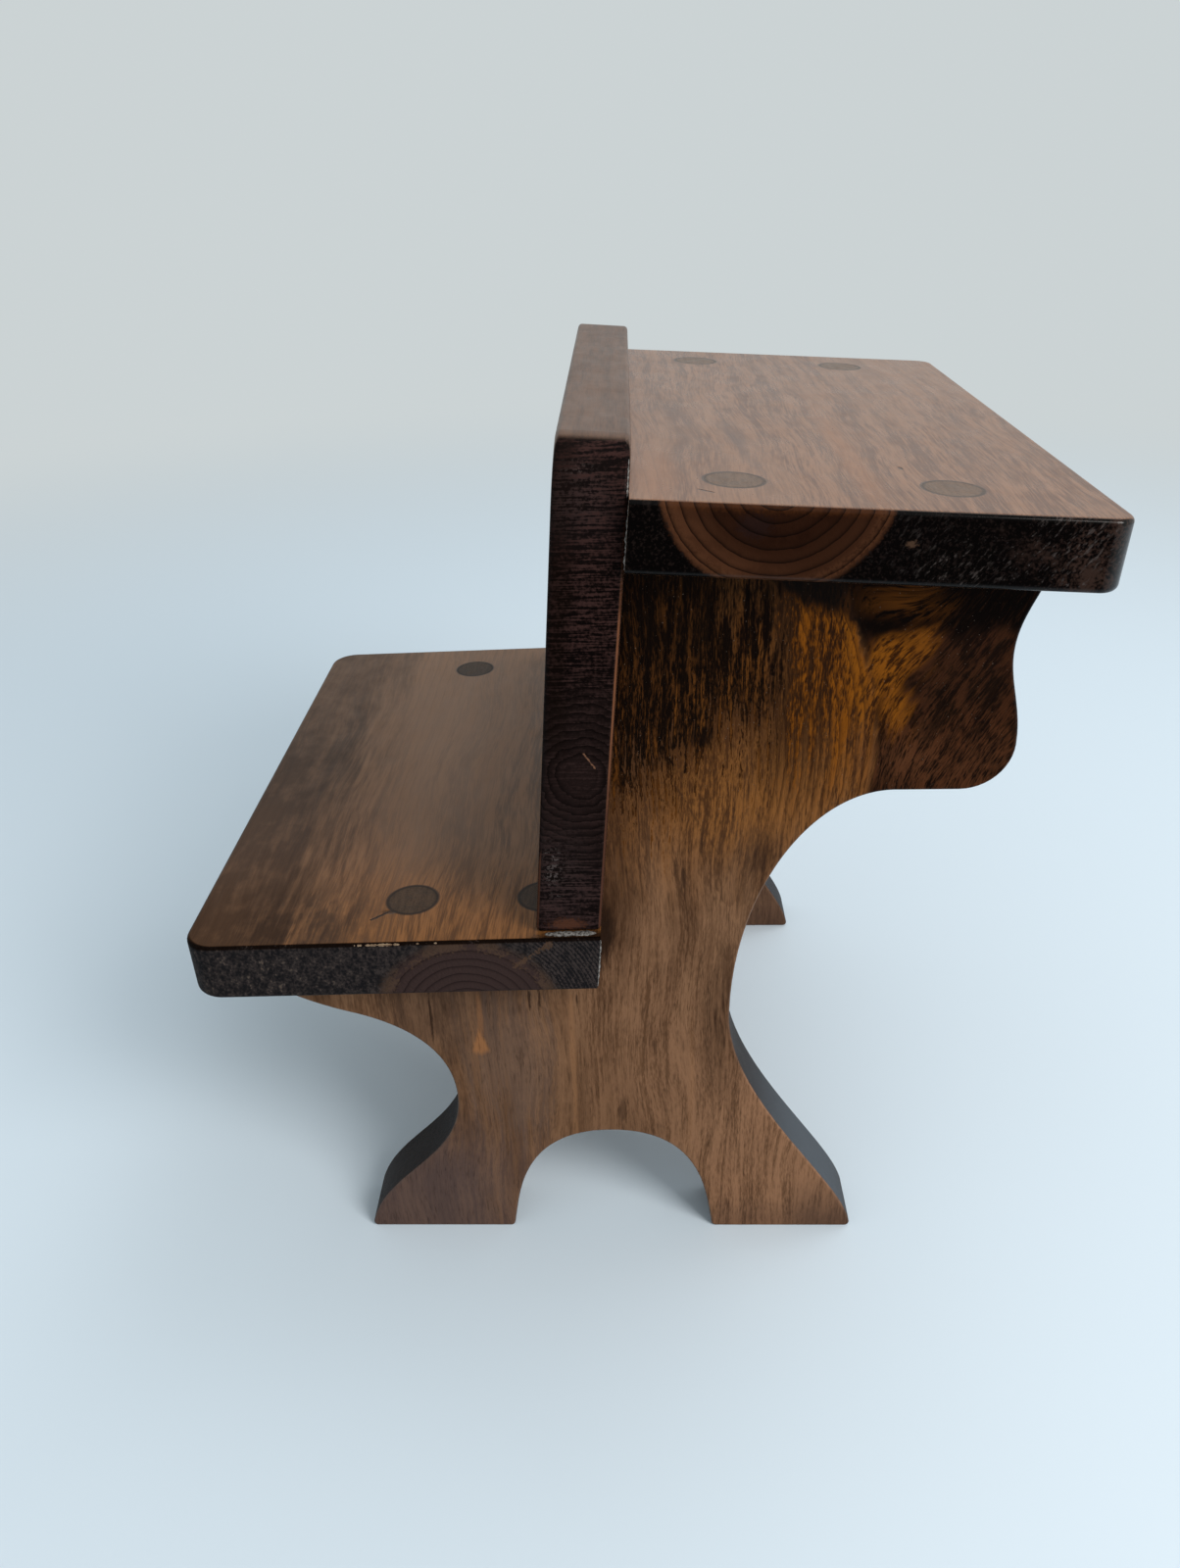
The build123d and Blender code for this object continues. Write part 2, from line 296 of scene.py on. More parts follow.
    seam = seam * soft(z_place, 180, 204) * soft(mottle, 0.34, 0.56)
    colour = mix(seam * blotch * 0.8, colour, nearly_black)
    swirl = patch(flat, (72.6, 0, 216), (4.4, 9, 8.0), ragged * 3.0, 0.6)
    swirl = swirl + patch(flat, (78.0, 0, 200), (4.6, 9, 9.0), ragged * 3.0, 0.6)
    swirl = swirl + patch(flat, (82.5, 0, 218), (5.0, 9, 8.5), ragged * 3.0, 0.7) * 0.75
    swirled = mix(soft(gritty, 0.41, 0.56), opaque(0.026, 0.0080, 0.0016), opaque(0.190, 0.0590, 0.0046))
    colour = mix(swirl * blotch * 0.92, colour, swirled)
    # Painted shade: a band along the panel's top, under the desk top's overhang, is painted nearly black over
    # the grain.
    slope = part_of(place, "X").math("MINIMUM", (x_place - 43) * 0.52, 13.0)
    shade_band = soft(z_place - 235.2 + slope + ragged * 12, -1.5, 2.0)
    painted_shade_tone = mix(soft(gritty, 0.52, 0.68), opaque(0.0022, 0.0009, 0.0005), opaque(0.018, 0.0062, 0.0022))
    colour = mix(shade_band * blotch * 0.97, colour, painted_shade_tone)
    embers = patch(flat, (77, 0, 230), (10, 9, 4.5), ragged * 3.0, 0.8) * soft(gritty, 0.44, 0.56)
    colour = mix(embers * blotch * 0.9, colour, opaque(0.098, 0.0300, 0.0042))

    # Single marks: a knot, a hairline, dust in the varnish, a torn wedge, pale lines and dark strokes.
    knot = patch(flat, (25.6, 0, 191.9), (2.9, 9, 3.0), (fibre - 0.5) * 3.0 + (mottle - 0.5) * 2)
    colour = mix(knot * blotch * 0.8, colour, nearly_black)
    hairline = scratch(flat, (16, 0, 181), (24, 0, 166), 0.28, (fleck - 0.5) * 0.6)
    hairline = hairline + scratch(flat, (24, 0, 166), (31, 0, 154), 0.28, (fleck - 0.5) * 0.6)
    hairline = hairline.math("MINIMUM", hairline, 1.0) * soft(mottle + fibre, 0.80, 1.10)
    colour = mix(hairline * blotch * 0.6, colour, opaque(0.036, 0.0150, 0.0065))
    dust = soft(noise(place, (1.7, 1.7, 1.7), 1.0, seed + 9.1), 0.72, 0.78)
    colour = mix(dust * upper * 0.45, colour, opaque(0.200, 0.150, 0.115))
    aside_of_tear = abs(x_place + 43.4)
    tear = (91 - z_place) * 0.30 - aside_of_tear + (fibre - 0.5) * 1.4
    tear = soft(tear, -0.3, 1.2) * soft(z_place + (fleck - 0.5) * 2 - aside_of_tear * 0.5, 77.2, 80.2)
    trail = patch(flat, (-42.8, 0, 94.0), (0.9, 9, 10.0), (fibre - 0.5) * 1.2, 0.5) * 0.5
    colour = mix(tear.math("MAXIMUM", tear, trail) * blotch * 0.88, colour, opaque(0.270, 0.116, 0.046))
    pale_line = patch(flat, (-13.8, 0, 72), (0.9, 9, 31), fringe * 2.6, 0.7)
    pale_line = pale_line + patch(flat, (24.6, 0, 66), (0.9, 9, 24), fringe * 2.6, 0.7) * 0.5
    colour = mix(pale_line * blotch * 0.45, colour, opaque(0.300, 0.145, 0.068))
    frayed = (fibre - 0.5) * 1.6 + (fleck - 0.5) * 2.0
    strokes = (
        (-58.4, 94, 12, 0.45, 0.85), (-26.9, 100.5, 4, 0.45, 0.85), (-23.6, 101, 5.5, 0.5, 0.85),
        (-11.9, 101, 2.5, 0.4, 0.85), (2.2, 55, 5.5, 1.2, 0.50), (-30.5, 77, 4, 0.8, 0.30),
        (20.6, 145, 4.5, 0.7, 0.60), (18.4, 150, 3.0, 0.45, 0.50), (26.0, 158, 5.0, 0.4, 0.50),
    )
    for middle, height, length, width, depth in strokes:
        stroke = patch(flat, (middle, 0, height), (width, 9, length), frayed)
        colour = mix(stroke * blotch * depth, colour, opaque(0.026, 0.0120, 0.0065))

    # The dark rear edge of the waist, the pores, and the sawn outline with its rubbed corners, painted paler
    # as partly wear and partly a painted highlight.
    waist = patch(flat, (34, 0, 92), (8, 9, 34), ragged * 2.8, 0.6)
    waist = waist + patch(flat, (41, 0, 143), (7, 9, 15), ragged * 2.4, 0.7) * 0.55
    waist = waist + patch(flat, (43.5, 0, 154), (6.5, 9, 9), ragged * 2.4, 0.7) * 0.8
    waist = waist.math("MINIMUM", waist, 1.3) * (soft(fleck * 0.5 + streak * 0.5, 0.44, 0.60) * 1.2 + 0.4)
    colour = mix(waist * blotch * 0.66, colour, opaque(0.036, 0.0160, 0.0080))
    pores = soft(noise(bent, (1.5, 1.5, 0.14), 2.0, seed + 13.9), 0.53, 0.66)
    colour = mix(pores * soft(mottle, 0.30, 0.60) * 0.34, colour, opaque(0.0070, 0.0030, 0.0016))
    across = abs(part_of(facing, "Y"))
    sawn = 1 - soft(across, 0.25, 0.70)
    sawn_tone = mix(soft(fibre, 0.40, 0.66), opaque(0.0090, 0.0060, 0.0054), opaque(0.027, 0.0170, 0.0135))
    # Painted reflection: the rear foot's up-facing sawn edges are painted blue-grey, standing in for the sky
    # that they reflect.
    sky_reflection_mask = soft(part_of(facing, "Z"), 0.15, 0.60) * soft(x_place, 20, 40) * (1 - soft(z_place, 30, 80))
    sawn_tone = mix(sky_reflection_mask * rubbed_and_lit * 0.7, sawn_tone, opaque(0.089, 0.104, 0.123))
    colour = mix(sawn, colour, sawn_tone)
    corner = across * across * (1 - across * across) * 4
    # The rubbed corners are painted paler: partly wear, partly a painted highlight.
    worn_and_highlit = soft(corner, 0.45, 0.95) * soft(streak + mottle, 0.80, 1.10)
    worn_and_highlit = worn_and_highlit * soft(z_place, 82, 98) * (1 - soft(z_place, 140, 165))
    colour = mix(worn_and_highlit * 0.5, colour, opaque(0.190, 0.093, 0.043))
    relief = fibre * 0.07 + fleck * 0.08 - late * 0.03 - hair * 0.03
    soaked = dusk.math("MAXIMUM", dusk, bracket) * 0.06
    dry = 0.91 + soaked - sawn * 0.13
    return varnish(material, colour, 0.36 + (mottle - 0.5) * 0.2, relief, dry, corner * 0.3)


left_stain = panel_wood("left_panel_walnut_stain", seed=0.0, blotch=1.0, aside=0.0, rubbed_and_lit=1.0)
right_stain = panel_wood("right_panel_walnut_stain", seed=41.0, blotch=0.8, aside=-9.0, rubbed_and_lit=0.2)
dress("left_side_panel", left_stain)
dress("right_side_panel", right_stain)


# Seat: one flat-sawn pine board with the grain along Y, screwed down on the panels' ledges. Its ends show
# arched growth rings about a pith just under the board, purple-brown inside and nearly black outside them.


def pith_distance(place, pith, heading, waver):
    """Distance in millimetres from the tree's middle, a line through a point on a heading, plus a waver."""
    away = place.node("VectorMath", {0: place, 1: pith}, {"operation": "SUBTRACT"})
    heading = tuple(np.array(heading) / np.linalg.norm(heading))
    turned = place.node("VectorMath", {0: away, 1: heading}, {"operation": "CROSS_PRODUCT"})
    return place.node("VectorMath", {0: turned}, {"operation": "LENGTH"}, output="Value") + waver


def plug_rims(place, board, across):
    """Thin dark lines round a board's plugs: 1 where the distance from a plug's axis is about the radius of
    its rim in millimetres."""
    rim_radius, core, fade = 7.75, 0.25, 0.95
    total = 0
    for node in nodes:
        if node.startswith(board + "_plug_"):
            middle = tuple(np.mean(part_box(node), axis=0) * 1000)
            away = place.node("VectorMath", {0: place, 1: middle}, {"operation": "SUBTRACT"})
            away = place.node("VectorMath", {0: away, 1: across}, {"operation": "MULTIPLY"})
            distance = place.node("VectorMath", {0: away}, {"operation": "LENGTH"}, output="Value")
            total = total + (1 - soft(abs(distance - rim_radius), core, fade))
    return total


seat_ring, close_ring = 2.75, 1.15
board_end = -113.5
lying, standing = (1, 1, 0), (0, 1, 1)
plug_rim_dark = opaque(0.012, 0.006, 0.004)
material, place, facing = timber("seat_walnut_stain")
x_place = part_of(place, "X")
y_place = part_of(place, "Y")
z_place = part_of(place, "Z")
waver = (noise(place, (0.022, 0.013, 0.022), 1.0, 2.9) - 0.5) * 10
bent = place.node("CombineXYZ", {"X": x_place + waver, "Y": y_place, "Z": z_place})
fibre, fleck, streak, broad = fibres(bent, "Y", 0.10, 5.0)
mottle = noise(place, (0.14, 0.09, 0.14), 3.0, 3.0)
speckle = noise(place, (1.1, 1.1, 1.1), 2.0, 1.0)
ragged = (streak - 0.5) + (fleck - 0.5)
figure = fibre * 0.40 + fleck * 0.36 + streak * 0.24
distance = pith_distance(place, (-43.5, board_end, 105.5), (0.02, 1, 0.012), (mottle - 0.5) * 1.0)
late = late_wood(distance + 0.4, seat_ring)
colour = mix(soft(figure, 0.43, 0.57), opaque(0.098, 0.043, 0.0170), opaque(0.204, 0.092, 0.0375))
colour = mix(soft(broad + ragged * 0.25, 0.44, 0.62) * 0.5, colour, opaque(0.232, 0.110, 0.048))
# Painted light: the seat top is painted lighter towards its far end.
colour = mix(soft(y_place + ragged * 40, -50, 90) * 0.4, colour, opaque(0.265, 0.138, 0.072))
colour = mix(late * soft(broad + fleck, 0.90, 1.15) * 0.3, colour, opaque(0.060, 0.026, 0.0110))
near_end = 1 - soft(y_place + ragged * 30, -112, -50)
glow = near_end * soft(x_place + ragged * 50, -104, -62)
amber = mix(soft(figure, 0.42, 0.58), opaque(0.092, 0.0345, 0.0090), opaque(0.245, 0.0950, 0.0245))
colour = mix(glow * 0.75, colour, amber)
browner = patch(place, (-76, -50, 133), (28, 44, 60), ragged * 1.6, 0.7)
colour = mix(browner * 0.20, colour, opaque(0.070, 0.0200, 0.0030))
fair = patch(place, (-63, 8, 133), (15, 70, 60), ragged * 1.6, 0.7)
colour = mix(fair * 0.42, colour, opaque(0.285, 0.155, 0.088))
smoke = (1 - soft(x_place + (broad - 0.5) * 36 + ragged * 22, -118, -72)) * (1.0 + (mottle - 0.5) * 1.1)
smoke = smoke * (1 - soft(y_place, -30, 70) * 0.35)
band = (1 - soft(abs(x_place + 101 + ragged * 14), 3, 11)) * (1 - soft(y_place + ragged * 40, -10, 45))
smoke = smoke.math("MINIMUM", smoke + band * 0.16, 1.0)
colour = mix(smoke * 0.88, colour, opaque(0.040, 0.0190, 0.0098))
soot = patch(place, (-93, -104, 132), (22, 20, 40), (mottle - 0.5) * 3.0)
soot = soot + patch(place, (-12, -113, 132), (13, 5, 40), (mottle - 0.5) * 2)
colour = mix(soot * soft(mottle + fibre, 0.85, 1.12) * 0.7, colour, opaque(0.024, 0.011, 0.006))
seam_stain = patch(place, (-11, -112.5, 133.5), (12, 3.4, 40), (speckle - 0.5) * 0.8, 0.3)
colour = mix(seam_stain * 0.85, colour, opaque(0.014, 0.0070, 0.0042))
crack = scratch(place, (-66.6, -95.4, 132.2), (-73.0, -100.7, 132.1), 0.40, (fleck - 0.5) * 0.6)
crack = crack + patch(place, (-68.2, -96.8, 132.2), (1.9, 1.1, 9), (fleck - 0.5) * 0.8, 0.4) * 0.7
crack = crack.math("MINIMUM", crack, 1.0)
colour = mix(crack * 0.85, colour, nearly_black)
colour = mix(plug_rims(place, "seat", lying) * 0.8, colour, plug_rim_dark)

# Its cut ends: rings in the heart, coarse and close-ringed outside it, with a tan band between them.
facing_y = abs(part_of(facing, "Y"))
end = soft(facing_y, 0.12, 0.45)
heart = 1 - soft(distance + (speckle - 0.5) * 3, 25.5, 29.0)
ringed = mix(late, opaque(0.036, 0.0215, 0.0195), opaque(0.0135, 0.0078, 0.0075))
close_rings = distance.math("FRACT", distance / close_ring + (speckle - 0.5) * 0.7)
rough = noise(place, (0.75, 1.0, 0.45), 5.0, 17.0)
lined = (close_rings - 0.5) * soft(x_place, -34, -18) * 0.26
coarse = mix(soft(rough * 0.6 + speckle * 0.4 + lined, 0.40, 0.64), opaque(0.0085, 0.0078, 0.0086),
             opaque(0.0370, 0.0285, 0.0265))
glints = soft(rough * 0.5 + speckle * 0.5, 0.58, 0.65) * (1 - soft(x_place + (mottle - 0.5) * 70, -100, -66))
coarse = mix(glints * 0.55, coarse, opaque(0.115, 0.086, 0.064))
cut_end = mix(heart, coarse, ringed)
blurred = distance + (speckle - 0.5) * 5
tan_band = soft(blurred, 23.6, 25.2) * (1 - soft(blurred, 26.4, 30.0))
cut_end = mix(tan_band * soft(mottle + speckle * 0.6, 0.68, 0.90) * 0.6, cut_end, opaque(0.074, 0.043, 0.027))
frayed = (speckle - 0.5) * 4.0 + (mottle - 0.5) * 3
flaw = scratch(place, (-18.6, board_end, 132.0), (-29.0, board_end, 123.8), 0.5, frayed)
cut_end = mix(flaw * 0.6, cut_end, opaque(0.090, 0.050, 0.030))
colour = mix(end, colour, cut_end)
# The eased near top edge is painted nearly black: stain wrapped over from the end grain, and partly a painted
# dark reflection.
easing = soft(facing_y, 0.06, 0.30) * (1 - soft(facing_y, 0.80, 0.97))
easing = easing * soft(part_of(facing, "Z"), 0.05, 0.25)
colour = mix(easing * soft(fibre + mottle, 0.74, 0.90) * 0.95, colour, nearly_black)
front = soft(part_of(facing, "X") * -1, 0.15, 0.60) * (1 - end)
colour = mix(front * 0.7, colour, opaque(0.030, 0.0140, 0.0080))
relief = fibre * 0.05 + fleck * 0.05 + end * speckle * 0.35 - end * heart * late * 0.08 - crack * 0.4
drunk = end + easing + smoke * 0.35 + near_end * 0.35 + 0.08
varnish(material, colour, 0.37 + (mottle - 0.5) * 0.2, relief, end.math("MINIMUM", drunk, 1.0), 0.0)
dress("seat", material)


# Backrest: a flat-sawn pine board that stands on the seat, screwed to the panels' raked edges, grain along Y.
# Its cut ends are a very dark red brown, with fine saw marks, rings about a low pith, and rubbed edges,
# partly painted highlight.

material, place, facing = timber("backrest_walnut_stain")
waver = (noise(place, (0.022, 0.013, 0.022), 1.0, 12.9) - 0.5) * 10
x_place = part_of(place, "X")
z_place = part_of(place, "Z")
bent = place.node("CombineXYZ", {"X": x_place, "Y": part_of(place, "Y"), "Z": z_place + waver})
fibre, fleck, streak, broad = fibres(bent, "Y", 0.10, 15.0)
mottle = noise(place, (0.14, 0.09, 0.14), 3.0, 13.0)
speckle = noise(place, (1.1, 1.1, 1.1), 2.0, 11.0)
ragged = (streak - 0.5) + (fleck - 0.5)
figure = fibre * 0.40 + fleck * 0.36 + streak * 0.24
saw = noise(place, (0.09, 0.09, 1.6), 3.0, 4.0)
uneven = (mottle - 0.5) * 4 + (saw - 0.5) * 1.2
distance = pith_distance(place, (-7.8, -110, 185), (0.02, 1, 0.01), uneven)
backrest_ring = 2.4
colour = mix(soft(figure, 0.38, 0.62), opaque(0.076, 0.037, 0.0205), opaque(0.128, 0.063, 0.0355))
colour = mix(soft(broad + ragged * 0.25, 0.44, 0.62) * 0.45, colour, opaque(0.145, 0.070, 0.036))
colour = mix(plug_rims(place, "backrest", standing) * 0.8, colour, plug_rim_dark)

# Its cut ends: saw marks, rings about the pith, a pale haze at top and bottom, the top one partly a painted
# highlight, and the rubbed edges.
facing_y = abs(part_of(facing, "Y"))
end = soft(facing_y, 0.16, 0.36)
sawn = saw * 0.65 + speckle * 0.35
dry_tone = mix(soft(z_place, 190, 225), opaque(0.0330, 0.0180, 0.0166), opaque(0.0350, 0.0163, 0.0142))
cut_end = mix(soft(sawn, 0.45, 0.61), opaque(0.0026, 0.0013, 0.0012), dry_tone)
ringed = 1 - soft(distance + (mottle - 0.5) * 14, 14, 34)
cut_end = mix(ringed * 0.65, cut_end, opaque(0.0150, 0.0080, 0.0070))
late = late_wood(distance, backrest_ring, 1.5) * soft(distance, 2, 8) * (1 - soft(distance, 22, 44))
cut_end = mix(late * 0.9, cut_end, opaque(0.0016, 0.0008, 0.0007))
front = 1 - soft(x_place - (z_place - 134) * 0.0735 + (mottle - 0.5) * 8, -19, -14)
cut_end = mix(front * soft(z_place + (mottle - 0.5) * 30, 180, 205) * 0.55, cut_end, nearly_black)
torn = (saw - 0.5) * 5 + (speckle - 0.5) * 3
# The pale haze at the top of the cut end is partly a painted highlight.
haze = patch(place, (-6.0, -110, 261), (10, 60, 10), torn, 0.6)
haze = haze + patch(place, (-14.0, -110, 155), (8, 60, 18), torn, 0.6)
cut_end = mix(haze * (soft(sawn, 0.44, 0.58) * 0.85 + 0.15) * 0.42, cut_end, opaque(0.042, 0.0275, 0.0262))
scuff = patch(place, (-7.0, -110, 267.5), (4.5, 60, 2.6), (saw - 0.5) * 3 + (speckle - 0.5) * 4) * 0.25
scuff = scuff + patch(place, (-17.0, -110, 155), (2.6, 60, 8.0), (saw - 0.5) * 6 + (speckle - 0.5) * 6, 0.3)
cut_end = mix(scuff * soft(speckle, 0.50, 0.62) * 0.6, cut_end, opaque(0.105, 0.085, 0.080))
cut = scratch(place, (-7.0, -109.8, 192.0), (-4.0, -109.8, 187.6), 0.2, (speckle - 0.5) * 0.9)
cut_end = mix(cut * 0.8, cut_end, opaque(0.190, 0.090, 0.052))
rubbed = patch(place, (-13.2, -110, 136.3), (4.6, 60, 1.8), (speckle - 0.5) * 2.4)
cut_end = mix(rubbed * 0.7, cut_end, opaque(0.090, 0.034, 0.019))
colour = mix(end, colour, cut_end)
# The rubbed edges are painted paler, lighter higher up: partly wear, partly a painted highlight.
corner = abs(part_of(facing, "X")) * facing_y * 2
worn_and_highlit = soft(corner, 0.68, 1.00) * (1 - soft(z_place + (mottle - 0.5) * 60, 215, 260))
worn_and_highlit = worn_and_highlit * soft(part_of(facing, "X") + (1 - soft(z_place, 146, 170)) * 2, -0.1, 0.3)
higher = soft(z_place + (mottle - 0.5) * 30, 165, 200)
edge_wear_and_highlight = mix(higher, opaque(0.074, 0.029, 0.0170), opaque(0.170, 0.066, 0.031))
colour = mix(worn_and_highlit * 0.85, colour, edge_wear_and_highlight)
relief = fibre * 0.05 + fleck * 0.05 + end * saw * 0.16
drunk = end.math("MAXIMUM", end * 0.9 + 0.1, worn_and_highlit)
varnish(material, colour, 0.36 + (mottle - 0.5) * 0.2, relief, drunk, corner * 0.03)
dress("backrest", material)


# Desk top: a flat-sawn pine board with the grain along Y, screwed down on the panels' sloping tops. Its ends
# show the growth rings of the tree's heart, red brown, between corners that are stained nearly black.

desk_ring = 3.25
material, place, facing = timber("desk_top_walnut_stain")
x_place = part_of(place, "X")
y_place = part_of(place, "Y")
z_place = part_of(place, "Z")
waver = (noise(place, (0.022, 0.013, 0.022), 1.0, 22.9) - 0.5) * 12
bent = place.node("CombineXYZ", {"X": x_place + waver, "Y": y_place, "Z": z_place})
fibre, fleck, streak, broad = fibres(bent, "Y", 0.10, 25.0)
mottle = noise(place, (0.14, 0.09, 0.14), 3.0, 23.0)
speckle = noise(place, (1.1, 1.1, 1.1), 2.0, 21.0)
ragged = (streak - 0.5) + (fleck - 0.5)
figure = fibre * 0.46 + fleck * 0.20 + streak * 0.34
distance = pith_distance(place, (41.7, board_end, 267.0), (-0.06, 1, 0.05), (mottle - 0.5) * 1.0)
late = late_wood(distance + 1.35, desk_ring)
colour = mix(soft(figure, 0.42, 0.58), opaque(0.134, 0.061, 0.033), opaque(0.262, 0.128, 0.069))
colour = mix(soft(broad + ragged * 0.25, 0.44, 0.62) * 0.5, colour, opaque(0.262, 0.130, 0.070))
warm = patch(place, (12.5, -92, 260), (4.2, 36, 60), ragged * 1.6, 0.6)
warm = warm + patch(place, (67, -55, 260), (3.0, 60, 60), ragged * 1.6, 0.6)
colour = mix(warm * 0.5, colour, opaque(0.285, 0.118, 0.048))
colour = mix(late * soft(broad + fleck, 0.86, 1.10) * 0.30, colour, opaque(0.075, 0.037, 0.024))
leaning = place.node("CombineXYZ", {"X": x_place + (y_place + 47) * 0.09, "Y": y_place})
smudge = patch(leaning, (37, -47, 0), (2.2, 28, 9), ragged * 1.8, 0.7)
colour = mix(smudge * 0.55, colour, opaque(0.062, 0.036, 0.032))
nick = scratch(leaning, (18.2, -101.2, 0), (21.5, -103.6, 0), 0.35, (fleck - 0.5) * 0.6)
nick = nick + patch(leaning, (76.9, -71.0, 0), (0.55, 1.5, 9), 0.0, 0.4)
colour = mix(nick * 0.8, colour, opaque(0.030, 0.016, 0.012))
colour = mix(plug_rims(place, "desk", lying) * 0.75, colour, opaque(0.024, 0.014, 0.010))

# Its cut ends: red-brown rings in the heart, stained and scuffed corners on both sides of it.
facing_y = abs(part_of(facing, "Y"))
facing_z = part_of(facing, "Z")
end = soft(facing_y, 0.20, 0.55)
heart = 1 - soft(distance + (speckle - 0.5) * 2.4, 28.3, 29.9)
lit_side = 1 - soft(x_place + (mottle - 0.5) * 12, 26, 48) * 0.55
early = mix(soft(distance, 15, 26) * lit_side, opaque(0.0128, 0.0040, 0.0018), opaque(0.060, 0.0222, 0.0102))
early = mix(soft(mottle, 0.40, 0.62) * 0.4, early, opaque(0.025, 0.0085, 0.0038))
blush = soft(z_place + (x_place - 42) * 0.059 + (speckle - 0.5) * 3, 257.0, 260.5)
early = mix(blush * 0.6, early, opaque(0.076, 0.0235, 0.0062))
bruise = patch(place, (36, board_end, 255), (4.0, 60, 3.0), (speckle - 0.5) * 1.5)
early = mix(bruise * 0.6, early, opaque(0.0140, 0.0068, 0.0062))
outermost = soft(distance, 25.0, 27.0) * soft(speckle, 0.36, 0.58)
early = mix(outermost * 0.5, early, opaque(0.078, 0.0300, 0.0135))
ringed = mix(late, early, opaque(0.0028, 0.0012, 0.0008))
tint = soft(x_place + (mottle - 0.5) * 30, 98, 116)
grainy = soft(speckle * 0.8 + mottle * 0.2, 0.50, 0.66)
stained = mix(grainy, opaque(0.0012, 0.0007, 0.0006), opaque(0.0085, 0.0052, 0.0044))
tint = tint * soft(speckle * 0.5 + mottle * 0.5, 0.43, 0.60)
stained = mix(tint * 0.8, stained, opaque(0.0320, 0.0172, 0.0128))
slanted = place.node("CombineXYZ", {"X": z_place * 0.8 - x_place, "Y": (z_place + x_place) * 0.28})
scored = noise(slanted, (0.8, 0.8, 0.8), 4.0, 27.0)
scuffs = patch(place, (91, board_end, 243.5), (8, 60, 4.5), (speckle - 0.5) * 5, 0.7)
scuffs = scuffs + patch(place, (115, board_end, 250), (8, 60, 9), (speckle - 0.5) * 5, 0.7) * 1.3
scuffs = scuffs + patch(place, (76, board_end, 249), (7, 60, 8), (speckle - 0.5) * 4, 0.7) * 0.4
stained = mix(scuffs * soft(scored, 0.52, 0.66) * 0.6, stained, opaque(0.062, 0.049, 0.045))
colour = mix(end, colour, mix(heart, stained, ringed))
chip = patch(place, (74, board_end, 249.8), (1.1, 60, 0.8), (speckle - 0.5) * 3.0)
colour = mix(chip * end * 0.7, colour, opaque(0.075, 0.041, 0.025))
upper_edge = soft(facing_z * facing_y * 2, 0.30, 0.85)
lower_edge = soft(facing_z * facing_y * -2, 0.30, 0.80)
shine = abs(part_of(facing, "X")) * facing_y * 2
relief = fibre * 0.045 + fleck * 0.045 + end * speckle * 0.14 - end * heart * late * 0.06 - nick * 0.3
pooled = upper_edge * 0.10 + shine * 0.8 + lower_edge * 0.2
varnish(material, colour, 0.29 + (mottle - 0.5) * 0.16, relief, end, pooled)
dress("desk_top", material)


# Glue: pale carpenter's glue that squeezed out of the seams and dried: under the backrest's near foot, down
# the seat's rear edge, up the seam between the backrest and the desk top, and on the backrest's round corner,
# where the bead is partly glue and partly a painted highlight.


def bead(name, path, half_width, half_height, upward, lumps, seed):
    """A closed lump: an oval profile carried along a path. A share s of the way along, its half sizes are
    those given times (1 - (2s - 1)^4)^0.5, swollen and pinched by lumps times a mean of three sines of s, and
    it ends in a point. Sizes are in millimetres. The profile's height points upward."""
    stations, sides = 40, 10
    share = np.linspace(0, 1, stations + 2)[1:-1]
    given = np.array(path, float)
    run = np.linspace(0, 1, len(given))
    line = np.stack([np.interp(share, run, given[:, k]) for k in range(3)], axis=1)
    tangent = np.gradient(line, axis=0)
    high = np.array(upward, float) / np.linalg.norm(upward)
    wide = np.cross(tangent, high)
    wide = wide / np.linalg.norm(wide, axis=1)[:, None]
    phases = np.random.default_rng(seed).uniform(0, 2 * np.pi, 3)
    turns = (2.3, 5.1, 9.7)
    waves = sum(np.sin(2 * np.pi * turn * share + phase) for turn, phase in zip(turns, phases)) / 3
    size = (1 - (2 * share - 1) ** 4) ** 0.5 * (1 + lumps * waves)
    angle = np.linspace(0, 2 * np.pi, sides, endpoint=False)
    across = half_width * size[:, None, None] * np.cos(angle)[None, :, None] * wide[:, None, :]
    over = half_height * size[:, None, None] * np.sin(angle)[None, :, None] * high
    ring = (line[:, None, :] + across + over).reshape(-1, 3)
    points = np.concatenate([ring, given[:1], given[-1:]]) / 1000
    place = np.arange(stations * sides).reshape(stations, sides)
    after = np.roll(place, -1, axis=1)
    quads = np.stack([place[:-1], after[:-1], after[1:], place[1:]], axis=-1).reshape(-1, 4).tolist()
    first_point, last_point = stations * sides, stations * sides + 1
    caps = [(first_point, b, a) for a, b in zip(place[0].tolist(), after[0].tolist())]
    caps += [(last_point, a, b) for a, b in zip(place[-1].tolist(), after[-1].tolist())]
    mesh = bpy.data.meshes.new(name)
    mesh.from_pydata(points.tolist(), [], quads + caps)
    mesh.polygons.foreach_set("use_smooth", [True] * len(mesh.polygons))
    piece = bpy.data.objects.new(name, mesh)
    bpy.context.scene.collection.objects.link(piece)
    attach(piece, "root")
    return piece


def seat_top_at(x):
    """Height of the seat's top, which rises a little to the rear."""
    heel_x, heel_z, rise = -4.934, 133.705, 0.02357
    return heel_z + rise * (x - heel_x)


def backrest_rear_at(z):
    """Place along X of the backrest's raked rear face."""
    heel_x, heel_z, rake = -4.934, 114.7, 0.07344
    return heel_x + rake * (z - heel_z)


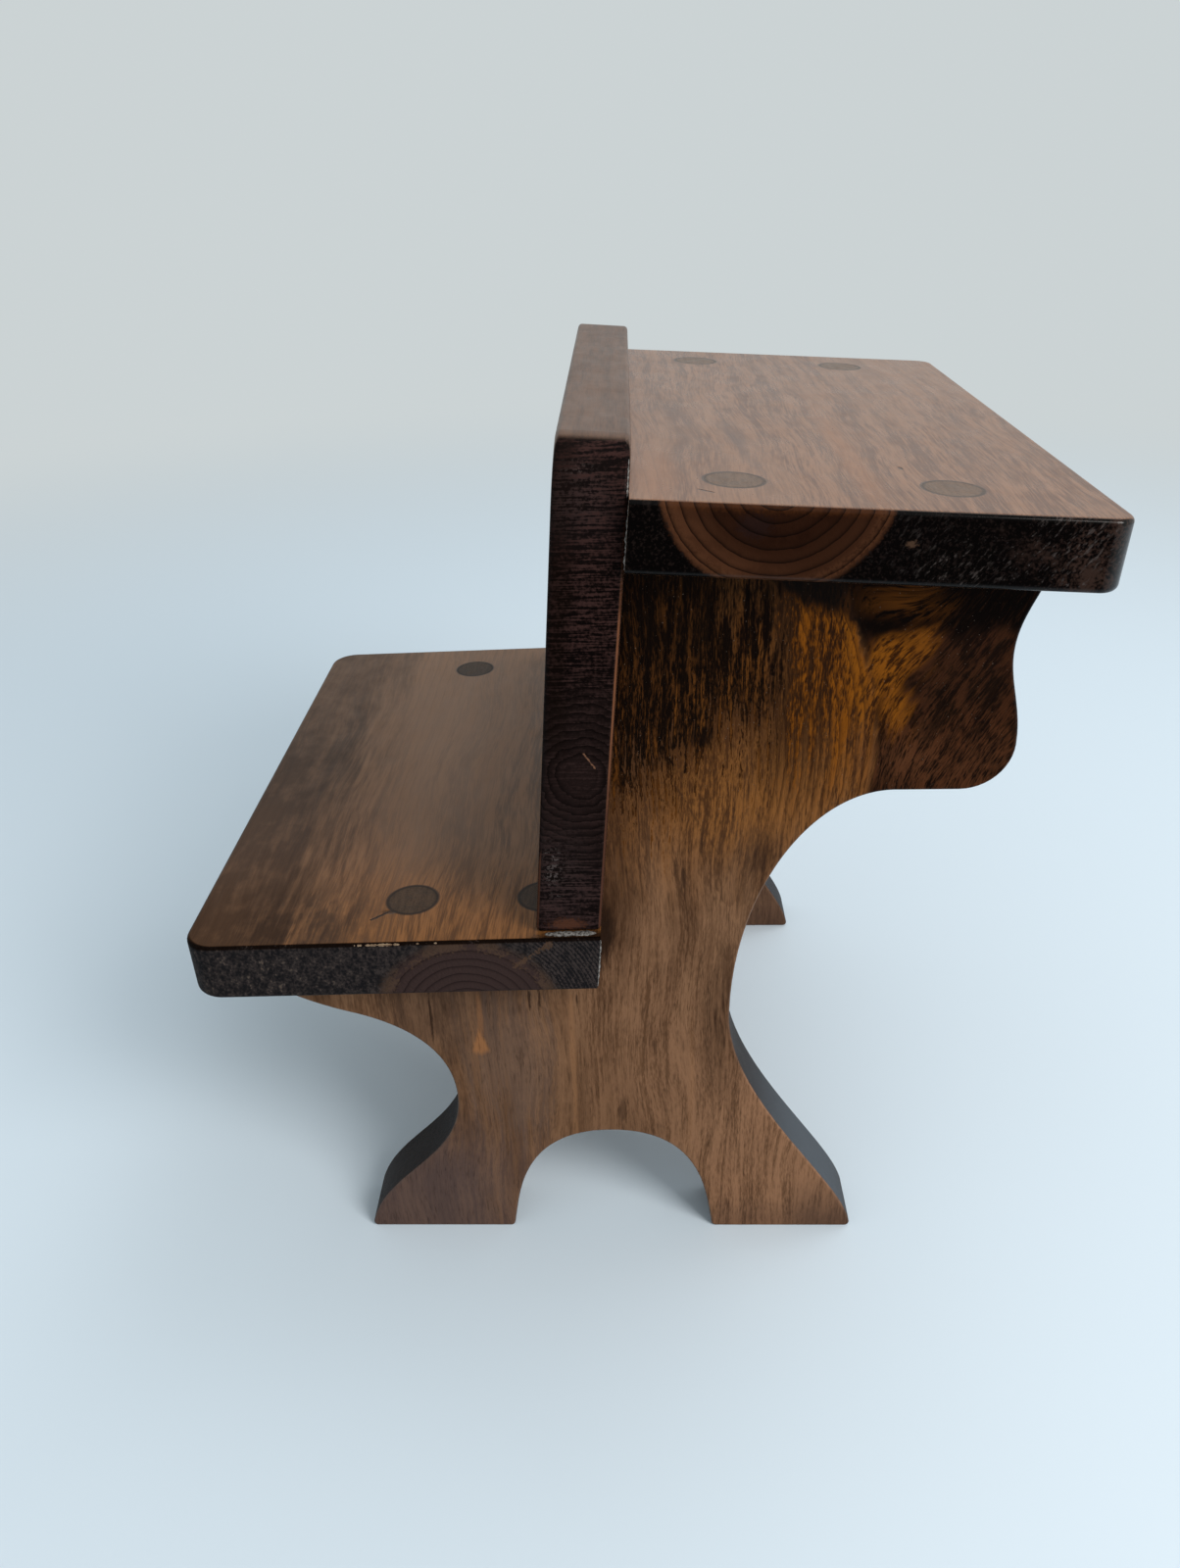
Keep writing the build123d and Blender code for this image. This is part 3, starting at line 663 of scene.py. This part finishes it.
glue, place, _ = timber("dried_glue")
curdled = noise(place, (1.3, 1.3, 1.3), 4.0, 71.0)
colour = mix(soft(curdled, 0.36, 0.64), opaque(0.045, 0.038, 0.034), opaque(0.235, 0.222, 0.210))
varnish(glue, colour, 0.35 + (curdled - 0.5) * 0.3, curdled * 0.25, curdled * 0.6, 0.1)
beside_backrest, seat_edge = -110.6, -113.0
desk_corner, bulge = 252, 1.2
foot = [(x, beside_backrest, seat_top_at(x)) for x in (-20, -15, -10, -4.8)]
edge = [(backrest_rear_at(z) + 0.05, seat_edge, z) for z in (133.0, 128, 122, 116)]
seam = [(backrest_rear_at(z) + 0.1, beside_backrest - (z < desk_corner) * bulge, z)
        for z in (243.5, 247, 250, 254, 261.5)]
corner_y, corner_z, corner_radius = -92.75, 256.16, 16.55
arc = [(corner_z + corner_radius * sin(angle), corner_y - corner_radius * cos(angle))
       for angle in (0.30, 0.50, 0.70, 0.90)]
arc = [(backrest_rear_at(z) - 0.45, y, z) for z, y in arc]
skyward, outward = (0, 0, 1), (1, -1, 0)
beads = (
    ("glue_under_backrest", foot, 1.2, 0.45, skyward, 0.25),
    ("glue_on_seat_edge", edge, 0.4, 0.3, outward, 0.4),
    ("glue_in_desk_seam", seam, 0.4, 0.4, outward, 0.8),
    # Partly glue, partly a painted highlight on the backrest's eased corner above the desk top.
    ("glue_on_backrest_edge", arc, 0.25, 0.2, outward, 0.6),
)
for name, path, half_width, half_height, upward, lumps in beads:
    piece = bead(name, path, half_width, half_height, upward, lumps, len(name))
    piece.data.materials.append(glue)


# Splinters: thin slivers of bare pine along the seat's near top edge, torn up when the corner was eased. They
# are paler than the stained board and still lie on the corner.

torn_wood, place, _ = timber("torn_pale_wood")
streaks = noise(place, (0.25, 2.5, 2.5), 2.0, 73.0)
colour = mix(soft(streaks, 0.36, 0.62), opaque(0.100, 0.058, 0.034), opaque(0.310, 0.220, 0.145))
varnish(torn_wood, colour, 0.6 + (streaks - 0.5) * 0.2, streaks * 0.1, streaks * 0.3 + 0.7, 0.0)
slivers = (
    (-82.0, -73.0, 0.30), (-78.0, -68.5, 0.40), (-73.0, -62.0, 0.38), (-67.5, -56.5, 0.34),
    (-60.5, -47.5, 0.28),
)
rounding_y, below_top, first_seed = -112.75, 0.56, 80
for number, (start, stop, thickness) in enumerate(slivers):
    y = rounding_y - 0.12 * (number % 3)
    lower = 0.10 * (number % 2)
    path = [(x, y, seat_top_at(x) - below_top - lower) for x in (start, (start + stop) / 2, stop)]
    name = f"seat_splinter_{number + 1}"
    piece = bead(name, path, thickness, thickness * 0.7, (0, -1, 1), 0.5, first_seed + number)
    piece.data.materials.append(torn_wood)


# Plugs: round wooden buttons glued into the counterbores over the screws and sanded flush, darker and greyer
# than the boards because their grain is cut across.


def plug_wood(name, board, across, dark, light, rim, dry):
    """Grain cut across: fine speckle and faint growth lines between a dark and a light tone, with a dark
    rim."""
    material, place, _ = timber(name)
    speckle = noise(place, (1.8, 1.8, 1.8), 3.0, 51.0)
    mottle = noise(place, (0.25, 0.25, 0.25), 2.0, 53.0)
    growth = noise(place, (0.9, 0.12, 0.9), 2.0, 55.0)
    colour = mix(soft(speckle * 0.45 + mottle * 0.20 + growth * 0.35, 0.38, 0.62), dark, light)
    colour = mix(plug_rims(place, board, across) * rim, colour, opaque(0.018, 0.0095, 0.0060))
    return varnish(material, colour, 0.36 + (mottle - 0.5) * 0.2, speckle * 0.06, dry + mottle * 0.2, 0.0)


plug_finish = {
    "desk": plug_wood("desk_plug_end_grain", "desk", lying, opaque(0.106, 0.060, 0.036),
                      opaque(0.172, 0.103, 0.066), 0.55, 0.0),
    "seat": plug_wood("seat_plug_end_grain", "seat", lying, opaque(0.037, 0.0200, 0.0108),
                      opaque(0.072, 0.0405, 0.0232), 0.80, 0.4),
    "backrest": plug_wood("backrest_plug_end_grain", "backrest", standing, opaque(0.044, 0.0245, 0.0140),
                          opaque(0.084, 0.0480, 0.0285), 0.80, 0.4),
}
for node in nodes:
    if "_plug_" in node:
        dress(node, plug_finish[node.split("_")[0]])


# Screws: flat-head wood screws of zinc-plated steel, driven through the three boards into the side panels.
# They are out of sight under the plugs.

material, place, _ = timber("screw_zinc_plate")
turned = noise(place, (3.0, 3.0, 3.0), 2.0, 61.0)
colour = mix(turned, opaque(0.45, 0.44, 0.40), opaque(0.62, 0.61, 0.57))
roughness = 0.3 + turned * 0.15
zinc = colour.node("BsdfPrincipled", {"Base Color": colour, "Roughness": roughness, "Metallic": 1.0})
colour.node("OutputMaterial", {"Surface": zinc})
for node in nodes:
    if "_screw_" in node:
        dress(node, material)


# Floor: a plain painted surface for the object to stand on. It takes the shadow under the feet, and far out
# it fades into the pale surroundings.

floor_reach = 3.0
around = opaque(0.600, 0.650, 0.660)
corners = np.array([(-1, -1, 0), (1, -1, 0), (1, 1, 0), (-1, 1, 0)], float) * floor_reach
floor_mesh = bpy.data.meshes.new("pale_floor")
floor_mesh.from_pydata(corners.tolist(), [], [(0, 1, 2, 3)])
floor = bpy.data.objects.new("pale_floor", floor_mesh)
bpy.context.scene.collection.objects.link(floor)
material, place, _ = timber("pale_floor_paint")
away = place.node("VectorMath", {0: place}, {"operation": "LENGTH"}, output="Value")
paint = place.node("BsdfPrincipled", {"Base Color": opaque(0.685, 0.778, 0.862), "Roughness": 0.6,
                                      "Specular IOR Level": 0.2})
haze = place.node("Emission", {"Color": around, "Strength": 1.0})
fade_start, fade_end = 500, 1400
shared = place.node("MixShader", {0: soft(away, fade_start, fade_end), 1: paint, 2: haze})
place.node("OutputMaterial", {"Surface": shared})
floor_mesh.materials.append(material)


# Studio light: an even pale room, a strong soft lamp in front to the right, and a weak one high up behind to
# the right.

world = bpy.data.worlds.new("pale_room")
world.use_nodes = True
world.node_tree.nodes.clear()
start = Grain(world.node_tree, None)
seen = start.math("MAXIMUM", start.node("LightPath", {}, output="Is Camera Ray"),
                  start.node("LightPath", {}, output="Is Glossy Ray"))
room_light, seen_extra = 0.86, 0.14
room = start.node("Background", {"Color": around, "Strength": room_light + seen * seen_extra})
start.node("OutputWorld", {"Surface": room})
bpy.context.scene.world = world


def softbox(name, place, target, size, power, colour):
    """A square area lamp at a place, turned to face a target."""
    lamp = bpy.data.lights.new(name, "AREA")
    lamp.shape = "SQUARE"
    lamp.size = size
    lamp.energy = power
    lamp.color = colour
    lamp_object = bpy.data.objects.new(name, lamp)
    lamp_object.location = place
    lamp_object.rotation_euler = (Vector(target) - Vector(place)).to_track_quat("-Z", "Y").to_euler()
    bpy.context.scene.collection.objects.link(lamp_object)


softbox("window_lamp", (0.55, 0.45, 1.60), (0, 0, 0.10), 0.9, 5.5, (0.97, 0.99, 1.0))
softbox("front_lamp", (1.00, -1.00, 1.10), (0, 0, 0.10), 0.7, 20.0, (1.0, 0.97, 0.93))


# Camera: the photographed view, square on to the left side panel from a little above the desk top, with the
# seat at the left of the upright frame. It is tilted down, turned and rolled by the angles below.

eye = (0.004707, -0.397174, 0.339178)
look_down = radians(28.53)
turn = radians(-2.034)
roll = radians(-1.594)
focal_pixels = 1222.873
frame_height_pixels = 1600
sensor_long_side = 36.0
ahead = Vector((sin(turn) * cos(look_down), cos(turn) * cos(look_down), -sin(look_down)))
level = Vector((cos(turn), -sin(turn), 0))
upright = level.cross(ahead)
right = cos(roll) * level + sin(roll) * upright
up = cos(roll) * upright - sin(roll) * level
camera_data = bpy.data.cameras.new("photo_view")
camera_data.sensor_width = sensor_long_side
camera_data.lens = focal_pixels / frame_height_pixels * sensor_long_side
camera_data.clip_start = 0.01
camera = bpy.data.objects.new("photo_view", camera_data)
heading = Matrix((right, up, -ahead)).transposed().to_4x4()
camera.matrix_world = Matrix.Translation(eye) @ heading
bpy.context.scene.collection.objects.link(camera)
bpy.context.scene.camera = camera
bpy.context.scene.view_settings.view_transform = "Standard"
